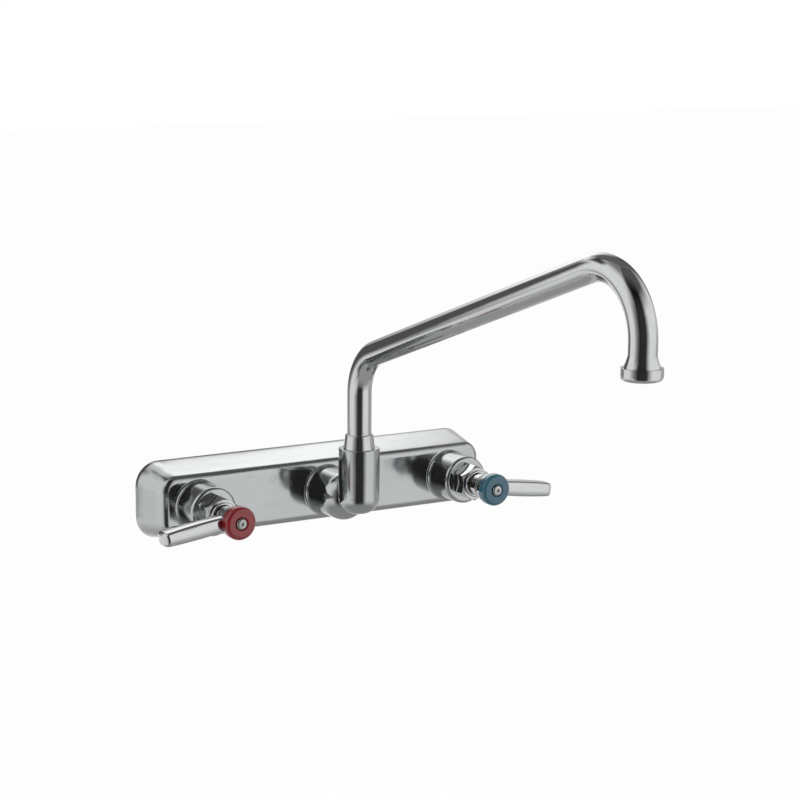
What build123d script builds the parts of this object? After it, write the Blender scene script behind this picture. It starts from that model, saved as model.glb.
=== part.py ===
"""Wall faucet with two quarter-turn lever valves and a swing spout, in millimetres.

X runs along the wall with the cold valve on its positive side, -Y points from the
wall to the user and +Z is up. The origin lies on the wall plane, midway between the
two inlets. Depths are measured from the wall plane, heights from the valve axes.
"""
import os
from math import atan2, cos, degrees, hypot, radians, sin, tan

from build123d import *

os.makedirs("parts", exist_ok=True)

# ---------------------------------------------------------------- driving sizes

# Body casting
valve_spacing = 203.2
body_end = 32.65
body_height = 54.5
body_depth = 31.0
body_corner = 17.0
body_draft = 12.0
body_edge = 5.0
body_wall = 3.4

# Bosses on the front of the casting
valve_boss_radius = 17.0
valve_boss_length = 24.4
valve_boss_round = 2.5
centre_boss_radius = 17.0
centre_boss_dome = 13.3
boss_root = 2.0

# Waterways
inlet_recess = 0.5
inlet_bore_radius = 9.3
inlet_bore_depth = 13.5
inlet_wall = 5.2
seat_web = 3.2
feed_port_radius = 2.6
feed_port_offset = 3.4
crossing_bore_radius = 4.6
crossing_wall = 3.0
outlet_bore_radius = 5.5
outlet_wall = 5.0

# Spout post
post_reach = 74.4
post_radius = 14.15
post_top = 37.7
post_bottom = -8.2
post_bottom_round = 11.0
post_top_round = 0.8
post_bore_radius = 10.0

# Cartridge
chamber_radius = 9.4
thread_bore_radius = 10.6
skirt_radius = 7.6
skirt_wall = 1.1
window_width = 7.0
land_length = 9.0
flange_thickness = 3.0
neck_radius = 7.0
neck_stand = 0.6
seal_thickness = 1.6
disc_thickness = 2.8
carriage_thickness = 2.8
tongue_width = 3.0
tongue_height = 1.0
tongue_inset = 0.4
o_ring_groove_depth = 1.3
groove_ease = 1.25
stop_lug_width = 2.6
stop_lug_height = 1.6
quarter_turn = 90.0
stop_play = 2.0

# Bonnet nut
hex_sides = 6
hex_flats = 22.2
hex_height = 12.4
hex_chamfer_slope = 1.2
crown_radius = 9.8
crown_height = 2.4

# Stem
stem_radius = 4.5
stem_groove_depth = 1.2
spline_radius = 3.9
spline_sides = 12
spline_length = 11.0
clip_thickness = 0.9
clip_radius = 6.2
clip_groove_depth = 0.9
clip_gap_angle = 50.0

# Lever handle
hub_back_radius = 8.2
hub_front_radius = 10.4
hub_length = 15.4
hub_neck_length = 4.6
hub_rim_length = 2.3
hub_back_round = 0.5
lever_reach = 53.0
lever_belly_reach = 23.8
lever_setback = 0.8
lever_root_width = 11.6
lever_end_width = 14.8
lever_root_height = 10.2
lever_belly_height = 11.4
lever_end_height = 9.8
lever_front_bulge = 1.0
lever_top_bulge = 0.5
lever_end_corner = 5.0
lever_edge_round = 2.4
lever_droop = 7.5

# Index ring and handle screw
index_radius = 11.3
index_thickness = 6.8
index_hole_radius = 2.3
index_seat_radius = 4.2
index_seat_depth = 1.8
index_round = 2.8
index_inner_round = 1.2
screw_head_radius = 3.8
screw_head_height = 2.8
screw_head_round = 1.5
screw_shank_radius = 1.9
screw_length = 14.0

# Spout
spout_reach = 304.8
tube_radius = 8.4
tube_wall = 1.2
first_corner_height = 98.8
second_corner_height = 204.9
first_bend_radius = 33.0
second_bend_radius = 38.0
outlet_leg = 7.24
sleeve_bottom = 6.4
sleeve_length = 19.0
sleeve_cup = 9.0
spout_groove_depth = 1.9
spout_seal_share = 0.27
washer_thickness = 1.5

# Spout nut
collar_height = 9.7
collar_bottom_radius = 10.8
collar_top_radius = 9.6
collar_round = 1.0

# Outlet
tip_flare_radius = 10.6
tip_flare_height = 6.4
tip_flare_share = 0.4
tip_thread_length = 2.8
tip_spigot_length = 4.0
aerator_radius = 12.2
aerator_height = 7.4
aerator_round = 3.0
aerator_lip = 2.0
aerator_wall = 1.8
aerator_opening_radius = 8.2
insert_radius = 7.3
insert_wall = 0.9
insert_flange = 1.1
insert_rise = 5.4
insert_plate = 1.1
insert_holes = 12
insert_hole_radius = 0.7
insert_hole_circle = 4.4
insert_vanes = 8
insert_vane_thickness = 0.7
insert_vane_depth = 1.8
screen_rise = 2.4
screen_thickness = 0.5
screen_hole_radius = 0.5
screen_pitch = 1.6
screen_rim = 0.3

# Clearances
running_fit = 0.06
thread_fit = 0.08
slip_fit = 0.10
face_gap = 0.05
clear_gap = 0.35

# How far a cut runs past the face it opens, and how closely an edge is matched
overcut = 1.0
edge_match = 0.01

# ---------------------------------------------------------------- derived places

front = body_depth
boss_front = front + valve_boss_length
valve_x = valve_spacing / 2
body_length = valve_spacing + 2 * body_end

seat_depth = inlet_recess + inlet_bore_depth + seat_web
fixed_disc_depth = seat_depth + seal_thickness
moving_disc_depth = fixed_disc_depth + disc_thickness + face_gap
carriage_depth = moving_disc_depth + disc_thickness + face_gap
skirt_roof = carriage_depth + carriage_thickness + face_gap
land_depth = skirt_roof + skirt_wall
shoulder_depth = land_depth + land_length
flange_front = shoulder_depth + flange_thickness
crossing_depth = seat_depth + crossing_bore_radius + slip_fit

hex_depth = boss_front + slip_fit
crown_depth = hex_depth + hex_height
crown_front = crown_depth + crown_height
neck_front = crown_front + neck_stand
clip_depth = neck_front + face_gap
hub_depth = clip_depth + clip_thickness + clear_gap
hub_front = hub_depth + hub_length
index_front = hub_front + index_thickness
screw_seat = index_front - index_seat_depth
screw_end = screw_seat - screw_length
stem_front = hub_depth + spline_length

stem_bore_radius = stem_radius + running_fit
skirt_bore_radius = skirt_radius - skirt_wall
disc_radius = skirt_bore_radius - slip_fit
land_radius = chamber_radius - slip_fit

nut_thread_radius = thread_bore_radius - thread_fit
sleeve_radius = post_bore_radius - running_fit
sleeve_top = sleeve_bottom + sleeve_length
tube_foot = sleeve_top - sleeve_cup
washer_height = sleeve_top + face_gap
spout_nut_foot = washer_height + washer_thickness + face_gap
tube_bore_radius = tube_radius - tube_wall

slant = degrees(atan2(second_corner_height - first_corner_height, spout_reach))
outlet_bend_drop = second_bend_radius * tan(radians((90 + slant) / 2))
tube_end_height = second_corner_height - outlet_bend_drop - outlet_leg
tip_shoulder = tube_end_height - tip_flare_height
aerator_top = tip_shoulder - clear_gap
aerator_bottom = aerator_top - aerator_height
tip_thread_radius = aerator_radius - aerator_wall - thread_fit
tip_foot = tip_shoulder - tip_thread_length
insert_seat = aerator_bottom + aerator_lip

out_of_wall = Plane.XZ


# ---------------------------------------------------------------- form helpers

def turned(*outline):
    """A solid turned about Z from corner points given as (radius, height)."""
    section = Plane.XZ * make_face(Polyline(*outline, close=True))
    return revolve(section, Axis.Z)


def collar(inner, outer, bottom, top):
    """A plain ring between two radii and two heights."""
    return turned((inner, bottom), (outer, bottom), (outer, top), (inner, top))


def rod(radius, bottom, top):
    """A cylinder about Z between two heights."""
    return Pos(0, 0, (bottom + top) / 2) * Cylinder(radius, top - bottom)


def rims(part, radius, height):
    """The circular edges of a radius at a height."""
    circles = part.edges().filter_by(GeomType.CIRCLE)
    return [
        edge for edge in circles
        if abs(edge.radius - radius) < edge_match and abs(edge.arc_center.Z - height) < edge_match
    ]


def o_ring(groove_radius, bore_radius, height, squeeze_gap):
    """A round-section ring that fills a groove up to the bore round it."""
    section = (bore_radius - squeeze_gap - groove_radius) / 2
    return Pos(0, 0, height) * Torus(groove_radius + section, section)


def groove_width(groove_radius, bore_radius):
    """A groove a little wider than the ring that lies in it."""
    return (bore_radius - groove_radius) * groove_ease


# ---------------------------------------------------------------- body casting

def drafted_block(length, height, corner, depth):
    """A rounded block on the wall plane that narrows away from the wall."""
    outline = RectangleRounded(length, height, corner)
    return extrude(outline, depth, taper=body_draft)


def centre_boss():
    """The round boss behind the spout post, with a domed end that sinks into the post."""
    dome_front = post_reach - post_radius / 2
    dome_back = dome_front - centre_boss_dome
    flat_radius = centre_boss_radius - centre_boss_dome
    outline = (
        Polyline((0, 0), (centre_boss_radius, 0), (centre_boss_radius, dome_back))
        + CenterArc((flat_radius, dome_back), centre_boss_dome, 0, 90)
        + Polyline((flat_radius, dome_front), (0, dome_front), (0, 0))
    )
    return revolve(Plane.XZ * make_face(outline), Axis.Z)


def spout_post():
    """The upright socket that takes the spout, rounded underneath."""
    post = rod(post_radius, post_bottom, post_top)
    post = fillet(rims(post, post_radius, post_bottom), post_bottom_round)
    return fillet(rims(post, post_radius, post_top), post_top_round)


def valve_boss():
    boss = rod(valve_boss_radius, 0, boss_front)
    return fillet(rims(boss, valve_boss_radius, boss_front), valve_boss_round)


def waterway_bosses():
    """The solid round the waterways, as it stands in the open back of the casting."""
    inlet_boss = rod(inlet_bore_radius + inlet_wall, inlet_recess, front)
    outlet_boss = rod(outlet_bore_radius + outlet_wall, crossing_depth - crossing_bore_radius
                      - crossing_wall, front)
    crossing = Rot(0, 90, 0) * Cylinder(crossing_bore_radius + crossing_wall, valve_spacing)
    bosses = outlet_boss + Pos(0, 0, crossing_depth) * crossing
    for side in (-1, 1):
        bosses += Pos(side * valve_x, 0, 0) * inlet_boss
    return bosses


def valve_bores():
    """Inlet, feed port, chamber and bonnet thread of one valve, about its axis."""
    inlet = rod(inlet_bore_radius, -overcut, seat_depth - seat_web)
    port = Pos(0, -feed_port_offset, 0) * rod(feed_port_radius, 0, seat_depth + overcut)
    chamber = rod(chamber_radius, seat_depth, shoulder_depth + overcut)
    thread = rod(thread_bore_radius, shoulder_depth, boss_front + overcut)
    return inlet + port + chamber + thread


def body_casting():
    shell = drafted_block(body_length, body_height, body_corner, body_depth)
    front_edges = shell.faces().sort_by(Axis.Z)[-1].edges()
    shell = fillet(front_edges, body_edge)
    for side in (-1, 1):
        shell += Pos(side * valve_x, 0, 0) * valve_boss()
    shell += centre_boss()
    roots = rims(shell, valve_boss_radius, front)
    shell = fillet(roots, boss_root)

    inner_length = body_length - 2 * body_wall
    inner_height = body_height - 2 * body_wall
    hollow = drafted_block(inner_length, inner_height, body_corner - body_wall, front - body_wall)
    shell -= hollow - waterway_bosses()
    shell = out_of_wall * shell + Pos(0, -post_reach, 0) * spout_post()

    crossing_bore = Rot(0, 90, 0) * Cylinder(crossing_bore_radius, valve_spacing)
    bores = Pos(0, 0, crossing_depth) * crossing_bore
    bores += rod(outlet_bore_radius, crossing_depth, post_reach)
    for side in (-1, 1):
        bores += Pos(side * valve_x, 0, 0) * valve_bores()
    post_bore = rod(post_bore_radius, 0, post_top + overcut)
    return shell - out_of_wall * bores - Pos(0, -post_reach, 0) * post_bore


# ---------------------------------------------------------------- valve, fixed pieces

def feed_port(depth, thickness):
    hole = rod(feed_port_radius, depth - overcut, depth + thickness + overcut)
    return Pos(0, -feed_port_offset, 0) * hole


def cartridge_seal():
    """Rubber pad between the seat and the fixed disc, open at the feed port."""
    pad = rod(disc_radius, seat_depth, seat_depth + seal_thickness)
    return pad - feed_port(seat_depth, seal_thickness)


def fixed_disc():
    disc = rod(disc_radius, fixed_disc_depth, fixed_disc_depth + disc_thickness)
    return disc - feed_port(fixed_disc_depth, disc_thickness)


def stop_window_angle():
    """The stop lug's own angle, seen from the stem's axis."""
    return 2 * degrees(atan2(stop_lug_width / 2, stem_radius))


def cartridge_housing(turn_side):
    """Brass shell of the cartridge: skirt, sealing land, flange and long neck."""
    housing = turned(
        (skirt_bore_radius, seat_depth + face_gap),
        (skirt_radius, seat_depth + face_gap),
        (skirt_radius, land_depth),
        (land_radius, land_depth),
        (land_radius, shoulder_depth),
        (thread_bore_radius - slip_fit, shoulder_depth),
        (thread_bore_radius - slip_fit, flange_front),
        (neck_radius, flange_front),
        (neck_radius, neck_front),
        (stem_bore_radius, neck_front),
        (stem_bore_radius, skirt_roof),
        (skirt_bore_radius, skirt_roof),
    )
    groove_floor = chamber_radius - o_ring_groove_depth
    groove_half = groove_width(groove_floor, chamber_radius) / 2
    groove_middle = (land_depth + shoulder_depth) / 2
    groove_back = groove_middle - groove_half
    groove_front = groove_middle + groove_half
    housing -= collar(groove_floor, chamber_radius, groove_back, groove_front)
    window_length = skirt_roof - moving_disc_depth
    window = Box(window_width, 4 * skirt_radius, window_length)
    housing -= Pos(0, 0, moving_disc_depth + window_length / 2) * window
    return housing - stop_window(turn_side)


def stop_window(turn_side):
    """The open quarter of the neck's rim in which the stem's lug swings."""
    lug_angle = stop_window_angle()
    sweep_angle = quarter_turn + lug_angle + 2 * stop_play
    start = -90 - lug_angle / 2 - stop_play
    if turn_side < 0:
        start -= quarter_turn
    depth = neck_front - stop_lug_height - face_gap
    wedge = Plane.XY.offset(depth) * make_face(
        Line((0, 0), (2 * neck_radius * cos(radians(start)), 2 * neck_radius * sin(radians(start))))
        + CenterArc((0, 0), 2 * neck_radius, start, sweep_angle)
        + Line(
            (2 * neck_radius * cos(radians(start + sweep_angle)),
             2 * neck_radius * sin(radians(start + sweep_angle))),
            (0, 0),
        )
    )
    return extrude(wedge, neck_front - depth + overcut)


def housing_o_ring():
    return o_ring(chamber_radius - o_ring_groove_depth, chamber_radius,
                  (land_depth + shoulder_depth) / 2, face_gap)


def bonnet_nut():
    """Hexagonal nut that clamps the cartridge's flange, with a round crown."""
    half_side_angle = 180 / hex_sides
    outline = RegularPolygon(hex_flats / 2, hex_sides, major_radius=False, rotation=half_side_angle)
    hexagon = Pos(0, 0, hex_depth) * extrude(outline, hex_height)
    corner_radius = hex_flats / 2 / cos(radians(half_side_angle))
    chamfer_rise = (corner_radius - hex_flats / 2) * hex_chamfer_slope
    rounding = turned(
        (0, hex_depth),
        (hex_flats / 2, hex_depth),
        (corner_radius, hex_depth + chamfer_rise),
        (corner_radius, crown_depth - chamfer_rise),
        (hex_flats / 2, crown_depth),
        (0, crown_depth),
    )
    nut = hexagon & rounding
    crown = rod(crown_radius, crown_depth, crown_front)
    nut += fillet(rims(crown, crown_radius, crown_front), crown_height / 2)
    nut += rod(nut_thread_radius, flange_front, hex_depth)
    return nut - rod(neck_radius + slip_fit, flange_front - overcut, crown_front + overcut)


# ---------------------------------------------------------------- valve, turning pieces

def moving_disc(turn_side):
    """Ceramic disc, notched to its rim a quarter turn short of the feed port when shut.

    The slot on its back takes the stem's tongue.
    """
    disc = rod(disc_radius, moving_disc_depth, moving_disc_depth + disc_thickness)
    disc_back = moving_disc_depth + disc_thickness
    notch = rod(feed_port_radius, moving_disc_depth - overcut, disc_back + overcut)
    notch += Pos(0, disc_radius / 2, moving_disc_depth + disc_thickness / 2) * Box(
        2 * feed_port_radius, disc_radius, disc_thickness + 2 * overcut
    )
    port = Rot(0, 0, turn_side * quarter_turn) * Pos(0, feed_port_offset, 0) * notch
    slot_floor = disc_back - tongue_height - slip_fit
    slot = Pos(0, 0, slot_floor + disc_thickness / 2) * Box(
        tongue_width + 2 * slip_fit, 3 * disc_radius, disc_thickness
    )
    return disc - port - slot


def stem():
    """Brass spindle: carriage with tongue, two seal grooves, stop lug, clip groove, spline."""
    collar_front = hub_depth + clear_gap
    spindle = rod(disc_radius, carriage_depth, carriage_depth + carriage_thickness)
    spindle += rod(stem_radius, carriage_depth, collar_front)
    tongue_length = 2 * (disc_radius - tongue_inset)
    spindle += Pos(0, 0, carriage_depth - tongue_height / 2) * Box(
        tongue_width, tongue_length, tongue_height
    )
    for middle in stem_seal_depths():
        floor = stem_radius - stem_groove_depth
        half = groove_width(floor, stem_bore_radius) / 2
        spindle -= collar(floor, stem_radius + overcut, middle - half, middle + half)
    clip_floor = stem_radius - clip_groove_depth
    clip_front = clip_depth + clip_thickness
    spindle -= collar(clip_floor, stem_radius + overcut, clip_depth, clip_front)
    spline = extrude(RegularPolygon(spline_radius, spline_sides), stem_front - collar_front)
    spindle += Pos(0, 0, collar_front) * spline
    lug_reach = neck_radius - clear_gap
    lug = Pos(0, -lug_reach / 2, neck_front - stop_lug_height / 2) * Box(
        stop_lug_width, lug_reach, stop_lug_height
    )
    spindle += lug
    screw_hole = rod(screw_shank_radius + thread_fit, screw_end - overcut, stem_front + overcut)
    return spindle - screw_hole


def stem_seal_depths():
    """The two stem seals, spread over the neck below the bonnet thread's end."""
    span = boss_front - flange_front
    return [flange_front + span * share for share in (1 / 3, 2 / 3)]


def stem_o_rings():
    rings = [
        o_ring(stem_radius - stem_groove_depth, stem_bore_radius, middle, running_fit)
        for middle in stem_seal_depths()
    ]
    return Compound(children=rings)


def stem_clip():
    """Open spring clip in the stem's groove."""
    inner = stem_radius - clip_groove_depth + face_gap
    clip = collar(inner, clip_radius, clip_depth, clip_depth + clip_thickness)
    gap = Pos(0, clip_radius, clip_depth) * Box(
        2 * inner * sin(radians(clip_gap_angle)), 2 * clip_radius, 3 * clip_thickness
    )
    return clip - gap


def handle_lever(lever_angle):
    """Hub that flares towards the index ring, with a thick lever on its side."""
    flare_start = hub_depth + hub_neck_length
    flare_end = hub_front - hub_rim_length
    middle_radius = (hub_back_radius + hub_front_radius) / 2
    outline = (
        Polyline((0, hub_depth), (hub_back_radius, hub_depth), (hub_back_radius, flare_start))
        + Spline(
            (hub_back_radius, flare_start),
            (middle_radius, (flare_start + flare_end) / 2),
            (hub_front_radius, flare_end),
            tangents=((0, 1), (0, 1)),
        )
        + Polyline((hub_front_radius, flare_end), (hub_front_radius, hub_front), (0, hub_front),
                   (0, hub_depth))
    )
    hub = revolve(Plane.XZ * make_face(outline), Axis.Z)
    hub = fillet(rims(hub, hub_back_radius, hub_depth), hub_back_round)
    handle = hub + Rot(0, 0, lever_angle) * lever_bar()
    socket = RegularPolygon(spline_radius + face_gap, spline_sides)
    socket_length = stem_front - hub_depth + overcut + clear_gap
    handle -= Pos(0, 0, hub_depth - overcut) * extrude(socket, socket_length)
    handle -= rod(clip_radius + clear_gap, hub_depth - overcut, hub_depth + 2 * clear_gap)
    return handle - rod(screw_shank_radius + slip_fit, hub_depth, hub_front + overcut)


def lever_section(width, height):
    """The bar's section: a rectangle whose four sides swell a little."""
    side = width / 2
    top = height / 2
    flank = side - lever_front_bulge
    ridge = top - lever_top_bulge
    return make_face(
        ThreePointArc((ridge, -flank), (top, 0), (ridge, flank))
        + ThreePointArc((ridge, flank), (0, side), (-ridge, flank))
        + ThreePointArc((-ridge, flank), (-top, 0), (-ridge, -flank))
        + ThreePointArc((-ridge, -flank), (0, -side), (ridge, -flank))
    )


def lever_bar():
    """The bar that swells towards its rounded end, on +X of the hub's axis."""
    root_reach = hub_back_radius / 2
    belly_width = (lever_root_width + lever_end_width) / 2
    stations = (
        (root_reach, lever_root_width, lever_root_height),
        (lever_belly_reach, belly_width, lever_belly_height),
        (lever_reach, lever_end_width, lever_end_height),
    )
    sections = [
        Plane(origin=(reach, 0, 0), x_dir=(0, 1, 0), z_dir=(1, 0, 0))
        * lever_section(width, height)
        for reach, width, height in stations
    ]
    beside = lever_end_width / 2 + clear_gap
    plan = make_face(Polyline(
        (0, -beside), (lever_reach, -beside), (lever_reach, beside), (0, beside), close=True
    ))
    plan = fillet(plan.vertices().group_by(Axis.X)[-1], lever_end_corner)
    bar = loft(sections) & extrude(Plane.XZ * plan, lever_belly_height, both=True)
    root = bar.faces().sort_by(Axis.X)[0]
    upright = [
        edge for edge in bar.edges()
        if abs(edge.center().Y) < edge_match and edge.center().X > lever_reach - edge_match
    ]
    bar = fillet(bar.edges() - root.edges() - upright, lever_edge_round)
    return Pos(0, 0, hub_front - lever_setback - lever_root_width / 2) * bar


def index_ring():
    """Coloured ring on the hub's front, well rounded, with a seat for the screw's head."""
    ring = collar(index_hole_radius, index_radius, hub_front, index_front)
    ring -= rod(index_seat_radius, screw_seat, index_front + overcut)
    ring = fillet(rims(ring, index_radius, index_front), index_round)
    return fillet(rims(ring, index_seat_radius, index_front), index_inner_round)


def handle_screw():
    """Pan-head screw through ring and hub into the stem, its head a little proud."""
    head_front = screw_seat + screw_head_height
    head = rod(screw_head_radius, screw_seat, head_front)
    head = fillet(rims(head, screw_head_radius, head_front), screw_head_round)
    return head + rod(screw_shank_radius, screw_end, screw_seat)


# ---------------------------------------------------------------- spout

def spout_path():
    """The tube's centre line: up, forward on a slant and down to the outlet."""
    corners = (
        (0, -post_reach, tube_foot),
        (0, -post_reach, first_corner_height),
        (0, -post_reach - spout_reach, second_corner_height),
        (0, -post_reach - spout_reach, tube_end_height),
    )
    return FilletPolyline(*corners, radius=(first_bend_radius, second_bend_radius))


def spout_tube():
    path = spout_path()
    start = Plane(origin=path @ 0, z_dir=path % 0)
    skin = sweep(start * Circle(tube_radius), path)
    bore = sweep(start * Circle(tube_bore_radius), path)
    return skin - bore


def spout_seal_heights():
    span = tube_foot - sleeve_bottom
    return [sleeve_bottom + span * share for share in (spout_seal_share, 1 - spout_seal_share)]


def spout_sleeve():
    """Brass sleeve brazed on the tube's foot, turning in the post on two rings."""
    sleeve = turned(
        (tube_bore_radius, sleeve_bottom),
        (sleeve_radius, sleeve_bottom),
        (sleeve_radius, sleeve_top),
        (tube_radius, sleeve_top),
        (tube_radius, tube_foot),
        (tube_bore_radius, tube_foot),
    )
    floor = post_bore_radius - spout_groove_depth
    half = groove_width(floor, post_bore_radius) / 2
    for middle in spout_seal_heights():
        sleeve -= collar(floor, post_bore_radius + overcut, middle - half, middle + half)
    return sleeve


def spout_o_rings():
    floor = post_bore_radius - spout_groove_depth
    rings = [
        o_ring(floor, post_bore_radius, middle, running_fit)
        for middle in spout_seal_heights()
    ]
    return Compound(children=rings)


def glide_washer():
    return collar(tube_radius + slip_fit, sleeve_radius - slip_fit, washer_height,
                  washer_height + washer_thickness)


def spout_nut():
    """Gland nut screwed into the post, with a conical collar above it."""
    collar_top = post_top + collar_height
    nut = turned(
        (0, spout_nut_foot),
        (post_bore_radius - thread_fit, spout_nut_foot),
        (post_bore_radius - thread_fit, post_top),
        (collar_bottom_radius, post_top),
        (collar_top_radius, collar_top),
        (0, collar_top),
    )
    nut = fillet(rims(nut, collar_top_radius, collar_top), collar_round)
    return nut - rod(tube_radius + running_fit, spout_nut_foot - overcut, collar_top + overcut)


def spout_tip():
    """Flared end piece: a spigot inside the tube, the flare and the aerator's thread."""
    spigot_radius = tube_bore_radius - face_gap
    bore_radius = spigot_radius - tube_wall
    wide_bore = insert_radius + clear_gap
    flare_middle = (tube_end_height + tip_shoulder) / 2
    outline = (
        Polyline(
            (wide_bore, tip_foot),
            (tip_thread_radius, tip_foot),
            (tip_thread_radius, tip_shoulder),
            (tip_flare_radius, tip_shoulder),
        )
        + Spline(
            (tip_flare_radius, tip_shoulder),
            (tube_radius + (tip_flare_radius - tube_radius) * tip_flare_share, flare_middle),
            (tube_radius, tube_end_height),
        )
        + Polyline(
            (tube_radius, tube_end_height),
            (spigot_radius, tube_end_height),
            (spigot_radius, tube_end_height + tip_spigot_length),
            (bore_radius, tube_end_height + tip_spigot_length),
            (bore_radius, tube_end_height),
            (wide_bore, flare_middle),
            (wide_bore, tip_foot),
        )
    )
    return revolve(Plane.XZ * make_face(outline), Axis.Z)


def aerator_housing():
    shell = rod(aerator_radius, aerator_bottom, aerator_top)
    shell = fillet(rims(shell, aerator_radius, aerator_bottom), aerator_round)
    shell -= rod(aerator_radius - aerator_wall, insert_seat, aerator_top + overcut)
    return shell - rod(aerator_opening_radius, aerator_bottom - overcut, insert_seat + overcut)


def aerator_insert():
    """Plastic cup: seat flange, drilled plate on top and straightening vanes below."""
    flange_top = insert_seat + insert_flange
    cup_top = flange_top + insert_rise
    cup = turned(
        (insert_radius - insert_wall, insert_seat),
        (aerator_radius - aerator_wall - slip_fit, insert_seat),
        (aerator_radius - aerator_wall - slip_fit, flange_top),
        (insert_radius, flange_top),
        (insert_radius, cup_top),
        (0, cup_top),
        (0, cup_top - insert_plate),
        (insert_radius - insert_wall, cup_top - insert_plate),
    )
    hole = rod(insert_hole_radius, cup_top - insert_plate - overcut, cup_top + overcut)
    for step in range(insert_holes):
        cup -= Rot(0, 0, step * 360 / insert_holes) * Pos(insert_hole_circle, 0, 0) * hole
    vane_reach = insert_radius - insert_wall / 2
    vane = Pos(vane_reach / 2, 0, insert_vane_depth / 2) * Box(
        vane_reach, insert_vane_thickness, insert_vane_depth
    )
    for step in range(insert_vanes):
        cup += Pos(0, 0, insert_seat) * Rot(0, 0, step * 360 / insert_vanes) * vane
    return cup


def aerator_screen():
    """Thin perforated disc inside the insert's cup."""
    height = insert_seat + insert_flange + screen_rise
    rim = insert_radius - insert_wall - face_gap
    disc = rod(rim, height, height + screen_thickness)
    hole = rod(screen_hole_radius, height - overcut, height + screen_thickness + overcut)
    most = int(rim / screen_pitch)
    steps = [step * screen_pitch for step in range(-most, most + 1)]
    for x in steps:
        for y in steps:
            if hypot(x, y) + screen_hole_radius + screen_rim < rim:
                disc -= Pos(x, y, 0) * hole
    return disc


def aerator_washer():
    flange_top = insert_seat + insert_flange
    return collar(insert_radius + slip_fit, tip_thread_radius, flange_top, tip_foot)


# ---------------------------------------------------------------- assembly

def save(name, shape):
    export_step(shape, f"parts/{name}.step")


def save_valve(prefix, side):
    """Both valves share their pieces; the cold one turns the other way."""
    place = out_of_wall * Pos(side * valve_x, 0, 0)
    lever_angle = -lever_droop if side > 0 else 180 + lever_droop
    pieces = {
        "cartridge_seal": cartridge_seal(),
        "fixed_disc": fixed_disc(),
        "cartridge_housing": cartridge_housing(side),
        "housing_o_ring": housing_o_ring(),
        "bonnet_nut": bonnet_nut(),
        "moving_disc": moving_disc(side),
        "stem": stem(),
        "stem_o_rings": stem_o_rings(),
        "stem_clip": stem_clip(),
        "handle_lever": handle_lever(lever_angle),
        "index_ring": index_ring(),
        "handle_screw": handle_screw(),
    }
    for name, piece in pieces.items():
        save(f"{prefix}_{name}", place * piece)


save("body_casting", body_casting())
save_valve("hot", -1)
save_valve("cold", 1)

post = Pos(0, -post_reach, 0)
outlet = Pos(0, -post_reach - spout_reach, 0)
save("spout_nut", post * spout_nut())
save("spout_tube", spout_tube())
save("spout_sleeve", post * spout_sleeve())
save("spout_o_rings", post * spout_o_rings())
save("glide_washer", post * glide_washer())
save("spout_tip", outlet * spout_tip())
save("aerator_housing", outlet * aerator_housing())
save("aerator_insert", outlet * aerator_insert())
save("aerator_screen", outlet * aerator_screen())
save("aerator_washer", outlet * aerator_washer())
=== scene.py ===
# %% [markdown]
# # A chrome wall faucet
# The solids of the faucet come from its CAD model: a long hollow casting with two lever
# valves and a swing spout. They already have the right shape and place, so this lesson
# leaves them alone and gives them what a solid lacks: finishes that look like plated
# brass, plastic and rubber, the cross recess of the two screws, the threads of the two
# inlets, and a studio to see them in. Everything is in metres. X runs along the wall,
# -Y comes out of the wall, Z is up.

# %% Load the solids
from math import cos, pi, radians, sin, tan

import bpy
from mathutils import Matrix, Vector


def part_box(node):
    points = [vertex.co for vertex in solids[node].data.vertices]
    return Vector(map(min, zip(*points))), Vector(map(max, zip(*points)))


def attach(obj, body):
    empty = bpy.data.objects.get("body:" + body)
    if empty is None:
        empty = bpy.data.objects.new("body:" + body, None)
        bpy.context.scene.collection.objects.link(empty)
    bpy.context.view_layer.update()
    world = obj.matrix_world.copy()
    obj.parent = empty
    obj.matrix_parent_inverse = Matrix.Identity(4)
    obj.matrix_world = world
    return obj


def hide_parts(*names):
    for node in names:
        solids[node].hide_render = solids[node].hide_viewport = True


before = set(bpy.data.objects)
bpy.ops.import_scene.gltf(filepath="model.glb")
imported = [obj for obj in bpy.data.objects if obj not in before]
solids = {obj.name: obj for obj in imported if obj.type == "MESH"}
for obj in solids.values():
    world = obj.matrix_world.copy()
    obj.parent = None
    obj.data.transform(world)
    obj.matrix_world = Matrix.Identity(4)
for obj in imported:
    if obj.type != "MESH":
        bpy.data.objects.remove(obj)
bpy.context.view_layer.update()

# %% [markdown]
# ## The camera
# The photograph looks down a little from the left. A camera can be aimed with a Track To
# constraint, but the faucet isn't in the middle of the picture, so the camera is aimed
# at the middle of the casting and the picture is slid with the lens shift. That keeps
# the upright edges as upright as they are in the photograph. The Standard view shows the
# brightness as it is, which a white background needs.

# %% Camera
view_left = radians(29.59)
view_down = radians(12.4)
view_distance = 1.563
aim = Vector((0, 0, 0.0027))
towards_camera = Vector((-sin(view_left) * cos(view_down),
                         -cos(view_left) * cos(view_down),
                         sin(view_down)))

bpy.ops.object.camera_add(location=aim + towards_camera * view_distance,
                          rotation=(pi / 2 - view_down, 0, -view_left))
camera = bpy.context.object
camera.name = "camera"
camera.data.sensor_width = 36
camera.data.lens = 98.075
camera.data.shift_x = 0.1182
camera.data.shift_y = 0.09644
camera.data.clip_start = 0.01
bpy.context.scene.camera = camera
bpy.context.scene.view_settings.view_transform = "Standard"
print("camera at", [round(v, 3) for v in camera.location])

# %% [markdown]
# ## Writing a finish in Python
# Every finish is a small graph of shader nodes. Wiring nodes by hand is slow to read, so
# two classes help. `Wire` is one output of a node. Adding, multiplying or comparing wires
# adds the Math nodes, so that a mask reads like a sum on paper.

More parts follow.
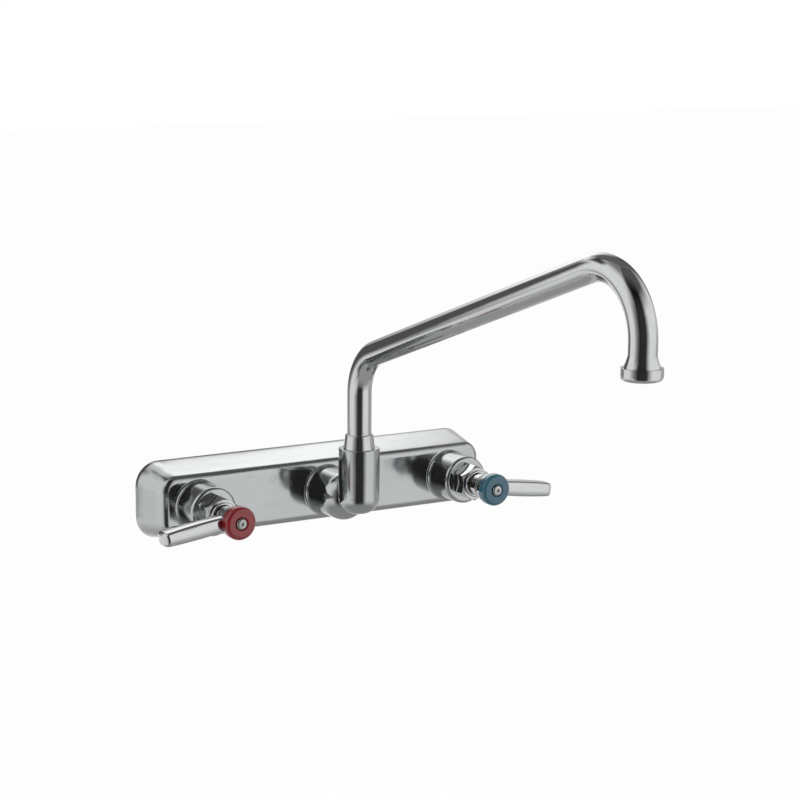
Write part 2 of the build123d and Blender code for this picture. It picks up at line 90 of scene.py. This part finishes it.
# %% Wires
class Wire:
    """An output socket of a finish, with the sums that shaders need."""

    def __init__(self, finish, socket):
        self.finish = finish
        self.socket = socket

    def maths(self, operation, *numbers, clamp=False):
        """A Math node in this wire's finish; each number is a wire or a plain value."""
        settings = {"operation": operation, "use_clamp": clamp}
        return self.finish.node("ShaderNodeMath", settings, dict(enumerate(numbers)))

    def __add__(self, other):
        return self.maths("ADD", self, other)

    def __sub__(self, other):
        return self.maths("SUBTRACT", self, other)

    def __rsub__(self, other):
        return self.maths("SUBTRACT", other, self)

    def __mul__(self, other):
        return self.maths("MULTIPLY", self, other)

    def __truediv__(self, other):
        return self.maths("DIVIDE", self, other)

    def __abs__(self):
        return self.maths("ABSOLUTE", self)

    __radd__ = __add__
    __rmul__ = __mul__

    def at_least(self, floor):
        return self.maths("MAXIMUM", self, floor)

    def at_most(self, ceiling):
        return self.maths("MINIMUM", self, ceiling)

    def hypotenuse(self, other):
        """The long side of a right triangle whose short sides are two wires."""
        return self.maths("SQRT", self * self + other * other)

    def above(self, level, softness):
        """0 below the level and 1 above it, with a soft step between."""
        return self.maths("ADD", (self - level) / softness, 0.5, clamp=True)

    def below(self, level, softness):
        """The same step, the other way round."""
        return 1 - self.above(level, softness)


# %% [markdown]
# `Finish` is one material, or the world. Its method `node` adds any node from its type,
# its settings and its inputs, and the other methods are the few nodes that these finishes
# use again and again. All of them measure on the object itself, in metres, so that a
# pattern has its real size and stays where it is when a piece moves.

# %% Finishes
class Finish:
    """A material, or the world, whose nodes are being written."""

    def __init__(self, name, owner=None):
        self.owner = owner or bpy.data.materials.new(name)
        self.owner.use_nodes = True
        self.tree = self.owner.node_tree
        self.tree.nodes.clear()

    def node(self, kind, settings, inputs, output=0):
        """Add a node: its settings first, then the value or wire of each input."""
        new = self.tree.nodes.new(kind)
        for name, value in settings.items():
            setattr(new, name, value)
        for name, value in inputs.items():
            if isinstance(value, Wire):
                self.tree.links.new(value.socket, new.inputs[name])
            else:
                new.inputs[name].default_value = value
        return Wire(self, new.outputs[output]) if new.outputs else None

    def place(self):
        """Where a point lies on the object, in metres."""
        return self.node("ShaderNodeTexCoord", {}, {}, "Object")

    def split(self, vector):
        """The X, Y and Z of a vector, as three wires."""
        parts = self.node("ShaderNodeSeparateXYZ", {}, {0: vector})
        return [Wire(self, socket) for socket in parts.socket.node.outputs]

    def stretched(self, vector, x, y, z):
        """The same place, measured with another rule along each axis."""
        return self.node("ShaderNodeMapping", {}, {"Vector": vector, "Scale": (x, y, z)})

    def noise(self, vector, per_metre, detail):
        """Soft random patches, so many to the metre."""
        inputs = {"Vector": vector, "Scale": per_metre, "Detail": detail}
        return self.node("ShaderNodeTexNoise", {}, inputs)

    def blend(self, share, first, second):
        """A colour between two colours."""
        inputs = {0: share, 6: first, 7: second}
        return self.node("ShaderNodeMix", {"data_type": "RGBA"}, inputs, 2)

    def bump(self, height, rise, below=None):
        """A normal that tilts with a height, in metres per unit; bumps can be stacked."""
        inputs = {"Height": height, "Distance": rise, "Strength": 1.0}
        if below:
            inputs["Normal"] = below
        return self.node("ShaderNodeBump", {}, inputs)

    def shader(self, **inputs):
        """The surface itself; names are written with _ for a space."""
        named = {name.replace("_", " "): value for name, value in inputs.items()}
        return self.node("ShaderNodeBsdfPrincipled", {}, named)

    def metal(self, colour, rough, normal):
        return self.shader(Base_Color=colour, Metallic=1.0, Roughness=rough, Normal=normal)

    def looked_at(self):
        """1 for what the camera sees, straight, mirrored or through glass, else 0."""
        rays = self.node("ShaderNodeLightPath", {}, {}).socket.node.outputs
        kinds = ("Is Camera Ray", "Is Glossy Ray", "Is Transmission Ray")
        straight, mirrored, through = [Wire(self, rays[kind]) for kind in kinds]
        return straight.at_least(mirrored).at_least(through)

    def done(self, surface, output="ShaderNodeOutputMaterial"):
        self.node(output, {}, {"Surface": surface})
        print("finish:", self.owner.name, "with", len(self.tree.nodes), "nodes")
        return self.owner


def grey(level):
    return (level, level, level, 1)


# %% [markdown]
# ## The studio
# Chrome has no colour of its own: it shows what stands round it. In the photograph the
# surroundings are white, with a dark room behind the camera and a dark gap overhead, and
# those two make the black lines along the spout. So the studio is a white world, a white
# floor, a few large soft lamps, and a tent of dark gauze that dims the white where the
# photographer had darkness. Only reflections meet the gauze; the camera and the lamps'
# light go through it as if it weren't there.
#
# The world and the floor are white to the eye and in reflections, but they light the
# faucet less than that would. The Light Path node tells the two apart.

# %% White world
ambient_level = 0.75
seen_level = 1.0

world = bpy.data.worlds.new("white_studio")
bpy.context.scene.world = world
sky = Finish("white_studio", world)
strength = ambient_level + sky.looked_at() * (seen_level - ambient_level)
sky.done(sky.node("ShaderNodeBackground", {}, {"Color": grey(1.0), "Strength": strength}),
         "ShaderNodeOutputWorld")

# %% White floor
floor_level = -1.0
floor_size = 40
paper_level = 0.92
seen_white = 0.94

bpy.ops.mesh.primitive_plane_add(size=floor_size, location=(0, 0, floor_level))
floor = bpy.context.object
floor.name = "floor"
paper = Finish("white_floor")
matte = paper.node("ShaderNodeBsdfDiffuse", {}, {"Color": grey(paper_level)})
white = paper.node("ShaderNodeEmission", {}, {"Color": grey(1.0), "Strength": seen_level})
white_share = paper.looked_at() * seen_white
floor.data.materials.append(
    paper.done(paper.node("ShaderNodeMixShader", {}, {0: white_share, 1: matte, 2: white})))
print("floor at", floor_level, "m")

# %% [markdown]
# A direction in the studio is given by two angles from the faucet: `across`, from
# straight out of the wall towards the right, and `up` from the horizon. The lamps are
# area lamps on a large sphere round the faucet, each turned to face it. They only light:
# mirrored, they would be hard-edged squares in the chrome, so reflections skip them.

# %% Soft lamps
studio_middle = Vector((0, -0.15, 0.05))
lamp_distance = 3.0


def direction(across, up):
    a, b = radians(across), radians(up)
    return Vector((sin(a) * cos(b), -cos(a) * cos(b), sin(b)))


def soft_lamp(name, across, up, width, height, brightness):
    """A rectangular lamp; brightness 1 shines as much as white paper of its size."""
    towards = direction(across, up)
    bpy.ops.object.light_add(type="AREA", location=studio_middle + towards * lamp_distance)
    lamp = bpy.context.object
    lamp.name = name
    lamp.rotation_euler = towards.to_track_quat("Z", "Y").to_euler()
    lamp.data.shape = "RECTANGLE"
    lamp.data.size = width
    lamp.data.size_y = height
    lamp.data.energy = brightness * pi * width * height
    lamp.visible_glossy = False
    print("lamp:", name, round(lamp.data.energy, 1), "W")


soft_lamp("key_lamp", across=153, up=30, width=1.9, height=1.7, brightness=1.7)
soft_lamp("left_lamp", across=-112, up=34, width=2.4, height=1.8, brightness=1.15)
soft_lamp("right_lamp", across=40, up=24, width=1.8, height=1.6, brightness=1.15)

# %% [markdown]
# The gauze is one sphere round the faucet with a see-through shader. Its colour is how
# much light it lets through, which is 1 in most places. Each dark cloth is a soft-edged
# window in the two angles, and the cloths multiply where they overlap. A little noise
# makes the cloth hang unevenly, which keeps the large reflections from looking flat. In
# one place, behind the faucet, the gauze glows: that whitens the top of the casting.

# %% A window in the tent
tent_radius = 0.97

bpy.ops.mesh.primitive_uv_sphere_add(segments=64, ring_count=32, radius=tent_radius,
                                     location=studio_middle)
tent = bpy.context.object
tent.name = "gauze_tent"
bpy.ops.object.shade_smooth()

gauze = Finish("gauze")
facing = gauze.node("ShaderNodeVectorMath", {"operation": "NORMALIZE"}, {0: gauze.place()})
east, north, height = gauze.split(facing)
degrees = 180 / pi
up_angle = height.maths("ARCSINE", height) * degrees


def window(middle, half_width, bottom, top, softness):
    """1 inside a soft-edged window of the tent and 0 outside it; all in degrees."""
    a = radians(middle)
    ahead = east * sin(a) - north * cos(a)
    aside = east * cos(a) + north * sin(a)
    off = abs(aside.maths("ARCTAN2", aside, ahead)) * degrees
    beside = off.below(half_width, softness)
    return beside * up_angle.above(bottom, softness) * up_angle.below(top, softness)


print("tent", tent_radius, "m in radius round", list(studio_middle))

# %% [markdown]
# The cloths were hung by working back: a dark line on the spout, or a shade on the
# casting, says in which direction chrome met darkness there. Each line of the list is
# one cloth: the middle and half the width of its window, its bottom and top, how dense
# it is from 0 to 1, and how soft its edge is.

# %% Cloths and glow
cloths = [
    (-30, 32, -40, 63, 0.96, 24),     # the dark room behind the camera
    (10, 84, 42, 120, 0.88, 22),      # overhead, in front
    (150, 60, 47, 120, 0.84, 12),     # overhead, behind
    (-112, 40, 58, 120, 0.72, 24),    # overhead, on the left
    (-144, 16, 38, 58, 0.9, 9),       # behind on the left, high up
    (113, 20, 8, 52, 0.88, 18),       # on the right
    (-164, 20, -9, 31, 0.89, 10),     # behind, a little to the left
    (169, 15, 1, 27, 0.62, 11),       # behind, a little to the right
    (-147, 12, -16, -4, 0.5, 10),     # behind on the left, below the horizon
    (36, 186, -120, -32, 0.6, 26),    # underneath, all the way round
    (105, 40, -30, 8, 0.5, 20),       # on the right, round the horizon
    (-66, 18, -16, 34, 0.6, 24),      # on the left
]
fold_depth = 0.24
glow_level = 0.74

clear = 1
for middle, half_width, bottom, top, density, softness in cloths:
    clear = clear * (1 - window(middle, half_width, bottom, top, softness) * density)
folds = gauze.noise(facing, 5, 2)
clear = clear * (1 + fold_depth / 2 - folds * fold_depth)
see_through = gauze.node("ShaderNodeBsdfTransparent", {}, {"Color": clear})

glow = window(161, 18, 18, 39, 13) * glow_level
glowing = gauze.node("ShaderNodeEmission", {}, {"Color": grey(1.0), "Strength": glow})
tent.data.materials.append(
    gauze.done(gauze.node("ShaderNodeAddShader", {}, {0: see_through, 1: glowing})))
tent.visible_camera = False
tent.visible_diffuse = False
tent.visible_transmission = False
tent.visible_shadow = False
print("cloths:", len(cloths))

# %% [markdown]
# ## Chrome
# The faucet is brass that was ground, buffed and plated. Three things keep plated metal
# from looking like a perfect mirror. The buffing wheel took a little more here than
# there, so reflections swim: a low, wide bump gives that. The plating has a faint orange
# peel: a much finer bump. And use leaves hazy patches, the rings of dried drops and
# hairline scratches, which dull the gloss a little.

# %% Scratches and dried drops
def hairlines(finish, place, per_metre):
    """Thin scratches: noise that is stretched until it turns into lines."""
    across = finish.noise(finish.stretched(place, 1, 0.04, 0.35), per_metre, 3)
    along = finish.noise(finish.stretched(place, 0.05, 1, 0.7), per_metre, 3)
    return across.above(0.66, 0.05) + along.above(0.67, 0.05)


def water_spots(finish, place, per_metre):
    """Rings that drops leave when they dry, on a few of the cells only."""
    inner, outer = 0.13, 0.21
    bare_share = 0.72
    inputs = {"Vector": place, "Scale": per_metre, "Randomness": 1.0}
    far = finish.node("ShaderNodeTexVoronoi", {}, inputs, "Distance")
    unevenness = (finish.noise(place, per_metre * 4, 1) - 0.5) * 0.16
    far = far + unevenness
    cell = finish.node("ShaderNodeTexVoronoi", {}, inputs, "Color")
    chosen = finish.split(cell)[0].above(bare_share, 0.02)
    return chosen * far.above(inner, 0.05) * far.below(outer, 0.04)


# %% Chrome
chrome_colour = (0.62, 0.628, 0.635, 1)
haze_colour = (0.5, 0.5, 0.49, 1)
haze_per_metre = 28
swim_per_metre = 42
spots_per_metre = 70
scratches_per_metre = 900
peel_per_metre = 1400
peel_rise = 0.000002
fine_swim = 0.00012
fine_polish = 0.045


def chrome(name, swim, polish, tint):
    """A new finish with the colour, roughness and normal of chrome, still to be joined.

    swim is how high the wheel's waves are, and polish is the roughness of a clean spot.
    """
    finish = Finish(name)
    place = finish.place()
    haze = finish.noise(place, haze_per_metre, 3).above(0.56, 0.3)
    spots = water_spots(finish, place, spots_per_metre)
    lines = hairlines(finish, place, scratches_per_metre)
    wear = haze * 0.35 + spots * 0.5
    colour = finish.blend(wear * 0.35, tint, haze_colour)
    rough = polish + haze * 0.05 + spots * 0.1 + lines * 0.08
    waves = finish.bump(finish.noise(place, swim_per_metre, 1), swim)
    peel = finish.bump(finish.noise(place, peel_per_metre, 1), peel_rise, waves)
    return finish, colour, rough, peel


def fine_chrome(name):
    """Chrome on a drawn, turned or forged piece, whose faces are nearly true."""
    finish, colour, rough, normal = chrome(name, fine_swim, fine_polish, chrome_colour)
    return finish.done(finish.metal(colour, rough, normal))


chrome_tube = fine_chrome("chrome_tube")
chrome_small = fine_chrome("chrome_small")

# %% [markdown]
# ## The casting
# The casting has the same chrome, but its waves are higher and its polish is duller,
# because its faces were ground by hand. Buffing also leaves the narrow faces a little
# crowned and rolls their edge off at the wall, so that the light changes over the depth.
# An arch over the depth and a short fall at the wall do the same in the bump's height.

# %% Crowned faces
casting_tint = (0.5, 0.515, 0.515, 1)
casting_swim = 0.0006
casting_polish = 0.115
front_depth = 0.031
crown = 0.00055
edge_roll = 0.0004
edge_depth = 0.0032

cast, colour, rough, normal = chrome("chrome_casting", casting_swim, casting_polish, casting_tint)
place = cast.place()
x, y, z = cast.split(place)
depth = y * -1
off_middle = depth.at_most(front_depth) / (front_depth / 2) - 1
arch = off_middle * off_middle
near_wall = (1 - depth / edge_depth).at_least(0)
fall = arch * arch * crown + near_wall * near_wall * edge_roll
plated = cast.metal(colour, rough, cast.bump(0 - fall, 1.0, normal))
print("crown", crown * 1000, "mm, edge roll", edge_roll * 1000, "mm")

# %% [markdown]
# The casting's open back is not plated. It keeps the grain of the sand mould in dull
# brass, and the bores are turned bright. The shader finds the two by measuring: the
# hollow is where a point lies further inside the sloping outer wall than half the wall's
# thickness, and a bore is where it lies close to a valve's axis.

# %% The hollow and the bores
body_low, body_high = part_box("body_casting")
half_length = body_high.x
half_height = -body_low.z
corner = 0.017
draft = tan(radians(12))
wall = 0.0034
valve_x = 0.1016
bore_edge = 0.0096
rim = 0.0002
blur = 0.0002
bore_blur = 0.0003

beyond_x = (abs(x) - (half_length - corner)).at_least(0)
beyond_z = (abs(z) - (half_height - corner)).at_least(0)
outwards = beyond_x.hypotenuse(beyond_z) - corner + depth * draft
within_depth = depth.below(front_depth - wall / 2, blur) * depth.above(rim, blur)
hollow = outwards.below(-wall / 2, blur) * within_depth
bore = abs(abs(x) - valve_x).hypotenuse(z).below(bore_edge, bore_blur)
print("casting", round(half_length * 2000, 1), "x", round(half_height * 2000, 1), "mm")

# %% Raw brass
stains_per_metre = 60
grains_per_metre = 1100
rings_per_metre = 900
sand_rise = 0.0003
ring_rise = 0.00003

stain = cast.noise(place, stains_per_metre, 3)
sand_brass = cast.blend(stain.above(0.5, 0.4), (0.46, 0.35, 0.19, 1), (0.27, 0.22, 0.15, 1))
turned_brass = cast.blend(stain, (0.72, 0.55, 0.28, 1), (0.60, 0.44, 0.22, 1))
raw_colour = cast.blend(bore, sand_brass, turned_brass)
raw_rough = 0.62 - bore * 0.35
grain = cast.noise(place, grains_per_metre, 4)
rings = cast.noise(cast.stretched(place, 0.2, 3, 0.2), rings_per_metre, 2)
raw_height = grain * (1 - bore) * sand_rise + rings * bore * ring_rise
raw = cast.metal(raw_colour, raw_rough, cast.bump(raw_height, 1.0))
chrome_casting = cast.done(
    cast.node("ShaderNodeMixShader", {}, {0: hollow, 1: plated, 2: raw}))

# %% [markdown]
# ## Brass and steel
# Inside the valves are turned brass and stainless steel. Both show the fine rings that a
# lathe leaves: noise that is stretched round the valve's axis, which points out of the
# wall.

# %% Turned metal
def turned_metal(name, light, dark, polish):
    """Metal from the lathe: close rings across the axis, and a few stains."""
    finish = Finish(name)
    place = finish.place()
    rings = finish.noise(finish.stretched(place, 0.15, 3, 0.15), 1500, 2)
    stain = finish.noise(place, 130, 3)
    colour = finish.blend(stain.above(0.5, 0.5), light, dark)
    rough = polish + rings * 0.12 + stain * 0.08
    return finish.done(finish.metal(colour, rough, finish.bump(rings, 0.00001)))


brass = turned_metal("brass", (0.74, 0.56, 0.28, 1), (0.60, 0.43, 0.20, 1), 0.2)
steel = turned_metal("steel", (0.56, 0.56, 0.56, 1), (0.46, 0.46, 0.45, 1), 0.22)

# %% [markdown]
# ## Plastics, rubber and ceramic
# The index rings are moulded in coloured plastic and look wet: a coloured body under a
# clear skin. A little of the colour wanders, as it does where the moulding flowed, and
# handling has dulled it with fine scratches. The seals are matte rubber with a bloom,
# the discs lapped ceramic, and the spout's glide washer and the cup inside the aerator
# plain nylon.

# %% Moulded pieces
def moulded(name, colour, other, polish, gloss, grains, rise):
    """A moulded piece in two near colours, with a skin and so many grains to the metre."""
    finish = Finish(name)
    place = finish.place()
    flow = finish.noise(place, 160, 2)
    scuffs = hairlines(finish, place, 1500)
    tint = finish.blend(flow.above(0.5, 0.6), colour, other)
    rough = polish + flow * 0.06 + scuffs * 0.12
    normal = finish.bump(finish.noise(place, grains, 2), rise)
    return finish.done(finish.shader(Base_Color=tint, Roughness=rough, Normal=normal,
                                     Coat_Weight=gloss, Coat_Roughness=0.06))


red_plastic = moulded("red_plastic", (0.25, 0.008, 0.012, 1), (0.16, 0.005, 0.009, 1),
                      polish=0.2, gloss=0.7, grains=500, rise=0.000004)
blue_plastic = moulded("blue_plastic", (0.022, 0.105, 0.155, 1), (0.015, 0.08, 0.12, 1),
                       polish=0.2, gloss=0.8, grains=500, rise=0.000004)
rubber = moulded("rubber", (0.025, 0.025, 0.027, 1), (0.04, 0.04, 0.042, 1),
                 polish=0.6, gloss=0.0, grains=2500, rise=0.00001)
nylon = moulded("nylon", (0.78, 0.78, 0.75, 1), (0.72, 0.72, 0.68, 1),
                polish=0.4, gloss=0.0, grains=1800, rise=0.000008)
ceramic = moulded("ceramic", (0.88, 0.87, 0.83, 1), (0.84, 0.83, 0.79, 1),
                  polish=0.22, gloss=0.3, grains=3000, rise=0.000002)

# %% [markdown]
# ## Dressing the solids
# Each solid's name says what it is, so a table from the end of a name to a finish is
# enough. The mesh isn't touched: only the material slot is filled again.

# %% Finishes by name
finishes = {
    "body_casting": chrome_casting,
    "spout_tube": chrome_tube,
    "bonnet_nut": chrome_small,
    "handle_lever": chrome_small,
    "spout_nut": chrome_small,
    "spout_tip": chrome_small,
    "aerator_housing": chrome_small,
    "cartridge_housing": brass,
    "stem": brass,
    "spout_sleeve": brass,
    "stem_clip": steel,
    "handle_screw": steel,
    "aerator_screen": steel,
    "hot_index_ring": red_plastic,
    "cold_index_ring": blue_plastic,
    "cartridge_seal": rubber,
    "o_ring": rubber,
    "o_rings": rubber,
    "aerator_washer": rubber,
    "glide_washer": nylon,
    "aerator_insert": nylon,
    "disc": ceramic,
}


def dress(name, solid):
    """Give a solid the finish whose ending fits its name best."""
    endings = [ending for ending in finishes if name.endswith(ending)]
    solid.data.materials.clear()
    solid.data.materials.append(finishes[max(endings, key=len)])


for name, solid in solids.items():
    dress(name, solid)
print("dressed", len(solids), "solids")

# %% [markdown]
# ## Helpers for modelling
# An operator works on all that is selected, and the solids come in selected, so each
# piece starts with an empty selection. `pick_faces` and `pick_edges` select by a rule on
# place and normal, which is how a hand would click. `settle` puts a piece's place, turn
# and scale into its mesh, so that the object itself stays at the origin.

# %% Selecting
def nothing_selected():
    if bpy.context.object and bpy.context.object.mode != "OBJECT":
        bpy.ops.object.mode_set(mode="OBJECT")
    bpy.ops.object.select_all(action="DESELECT")


def only_selected(piece):
    nothing_selected()
    piece.select_set(True)
    bpy.context.view_layer.objects.active = piece


def no_part_selected(kind):
    """Clear the selection inside the mesh, and say what will be selected there."""
    bpy.ops.object.mode_set(mode="EDIT")
    bpy.ops.mesh.select_mode(type=kind)
    bpy.ops.mesh.select_all(action="DESELECT")
    bpy.ops.object.mode_set(mode="OBJECT")


def pick_faces(piece, rule):
    """Enter edit mode with the faces selected whose centre and normal fit the rule."""
    no_part_selected("FACE")
    for face in piece.data.polygons:
        face.select = rule(face.center, face.normal)
    bpy.ops.object.mode_set(mode="EDIT")


def pick_edges(piece, rule):
    """The same for edges, by the place of their two ends."""
    no_part_selected("EDGE")
    corners = piece.data.vertices
    for edge in piece.data.edges:
        edge.select = rule(corners[edge.vertices[0]].co, corners[edge.vertices[1]].co)
    bpy.ops.object.mode_set(mode="EDIT")


# %% Placing and finishing
crease = radians(35)


def settle(piece):
    only_selected(piece)
    bpy.ops.object.transform_apply(location=True, rotation=True, scale=True)


def copied(piece, shift):
    """A copy with a mesh of its own, moved over."""
    twin = piece.copy()
    twin.data = piece.data.copy()
    bpy.context.scene.collection.objects.link(twin)
    twin.location = shift
    settle(twin)
    return twin


def cut(piece, tool):
    """Take the tool's shape out of the piece, and throw the tool away."""
    only_selected(piece)
    modifier = piece.modifiers.new("cut", "BOOLEAN")
    modifier.operation = "DIFFERENCE"
    modifier.object = tool
    bpy.ops.object.modifier_apply(modifier=modifier.name)
    bpy.data.objects.remove(tool)


def finish_piece(piece, name, material, body):
    """Name a piece, smooth it, give it its finish and let it ride on its body."""
    only_selected(piece)
    piece.name = piece.data.name = name
    piece.data.materials.clear()
    piece.data.materials.append(material)
    bpy.ops.object.shade_smooth_by_angle(angle=crease)
    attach(piece, body)
    print("piece:", name, len(piece.data.polygons), "faces")


# %% [markdown]
# ## Handle screws
# A small stainless screw in the middle of each index ring holds the lever on its stem.
# The solid is a plain domed head, so the real one is modelled here with its cross
# recess. The head starts as a cylinder whose rim is beveled into a dome, and the shank is
# extruded from its back. Outwards is towards -Y, so the back of the head faces +Y.

# %% Screw head and shank
screw_low, screw_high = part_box("hot_handle_screw")
screw_middle = (screw_low + screw_high) / 2
head_radius = (screw_high.x - screw_low.x) / 2
head_height = 0.0028
dome_width = 0.0015
shank_radius = 0.0019
head_back = screw_low.y + head_height
just_behind_front = screw_low.y + 0.0001

nothing_selected()
bpy.ops.mesh.primitive_cylinder_add(
    vertices=48, radius=head_radius, depth=head_height, rotation=(pi / 2, 0, 0),
    location=(screw_middle.x, screw_low.y + head_height / 2, screw_middle.z))
screw = bpy.context.object
settle(screw)
pick_faces(screw, lambda centre, normal: normal.y > 0.9)
bpy.ops.mesh.inset(thickness=head_radius - shank_radius)
shank_length = screw_high.y - head_back
bpy.ops.mesh.extrude_region_move(TRANSFORM_OT_translate={"value": (0, shank_length, 0)})
pick_edges(screw, lambda a, b: a.y < just_behind_front and b.y < just_behind_front)
bpy.ops.mesh.bevel(offset=dome_width, segments=6, profile=0.5)
bpy.ops.object.mode_set(mode="OBJECT")
print("screw", round(head_radius * 2000, 2), "mm wide,", len(screw.data.polygons), "faces")

# %% [markdown]
# The recess is cut by two bars that cross, each narrower at its inner end. The screw was
# turned tight wherever it came to rest, so the cross doesn't stand upright. The second
# screw is a copy of the first, as far over as the valves are apart.

# %% Cross recess
recess_length = 0.0040
recess_width = 0.0011
recess_depth = 0.0018
recess_taper = 0.55
recess_turn = radians(27)
to_cold_side = (2 * valve_x, 0, 0)


def recess_bar(turn):
    """A bar that narrows towards the bottom of the recess."""
    nothing_selected()
    bpy.ops.mesh.primitive_cube_add(
        size=1, location=(screw_middle.x, screw_low.y, screw_middle.z),
        scale=(recess_length, 2 * recess_depth, recess_width), rotation=(0, turn, 0))
    bar = bpy.context.object
    pick_faces(bar, lambda centre, normal: normal.y > 0.9)
    bpy.ops.transform.resize(value=(recess_taper, 1, recess_taper))
    bpy.ops.object.mode_set(mode="OBJECT")
    settle(bar)
    return bar


cut(screw, recess_bar(recess_turn))
cut(screw, recess_bar(recess_turn + pi / 2))
cold_screw = copied(screw, to_cold_side)
finish_piece(screw, "hot_screw", steel, "hot_handle")
finish_piece(cold_screw, "cold_screw", steel, "cold_handle")
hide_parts("hot_handle_screw")
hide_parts("cold_handle_screw")

# %% [markdown]
# ## Pipe threads in the inlets
# The supply pipes screw into the two bores at the back. A thread is one small profile
# that is turned and moved along at the same time, and the Screw modifier does just that.
# The profile is a plane whose inner edge is pinched, with its face removed, so that only
# the outline is turned. It stands on the bore's wall and is sunk a little into it.

# %% Thread profile
bore_radius = 0.0093
thread_pitch = 0.001814
thread_height = 0.0006
thread_start = -0.0006
sunk = 0.0001
crest_share = 0.25
profile_width = thread_pitch * 0.8
profile_height = thread_height + sunk
half_way = bore_radius - thread_height / 2

nothing_selected()
bpy.ops.mesh.primitive_plane_add(
    size=1, location=(-valve_x, thread_start - profile_width / 2, 0))
thread = bpy.context.object
bpy.ops.object.mode_set(mode="EDIT")
bpy.ops.mesh.select_all(action="SELECT")
bpy.ops.transform.resize(value=(profile_height, profile_width, 1))
bpy.ops.transform.translate(value=(bore_radius + sunk - profile_height / 2, 0, 0))
pick_edges(thread, lambda a, b: a.x < half_way and b.x < half_way)
bpy.ops.transform.resize(value=(1, crest_share, 1))
bpy.ops.mesh.select_all(action="SELECT")
bpy.ops.mesh.delete(type="ONLY_FACE")
bpy.ops.object.mode_set(mode="OBJECT")
print("profile", len(thread.data.edges), "edges")

# %% [markdown]
# Turning the outline gives a long coiled tube that is open at its two ends. Doubled
# points are merged, the ends are filled, and the normals are made to point outwards.

# %% Inlet threads
thread_turns = 7
steps_a_turn = 48

turn = thread.modifiers.new("turn", "SCREW")
turn.axis = "Y"
turn.angle = 2 * pi
turn.screw_offset = -thread_pitch
turn.iterations = thread_turns
turn.steps = steps_a_turn
turn.render_steps = steps_a_turn
bpy.ops.object.modifier_apply(modifier=turn.name)
bpy.ops.object.mode_set(mode="EDIT")
bpy.ops.mesh.select_all(action="SELECT")
bpy.ops.mesh.remove_doubles(threshold=0.000001)
bpy.ops.mesh.fill_holes(sides=8)
bpy.ops.mesh.normals_make_consistent(inside=False)
bpy.ops.object.mode_set(mode="OBJECT")
settle(thread)
cold_thread = copied(thread, to_cold_side)
finish_piece(thread, "hot_inlet_thread", brass, "body")
finish_piece(cold_thread, "cold_inlet_thread", brass, "body")
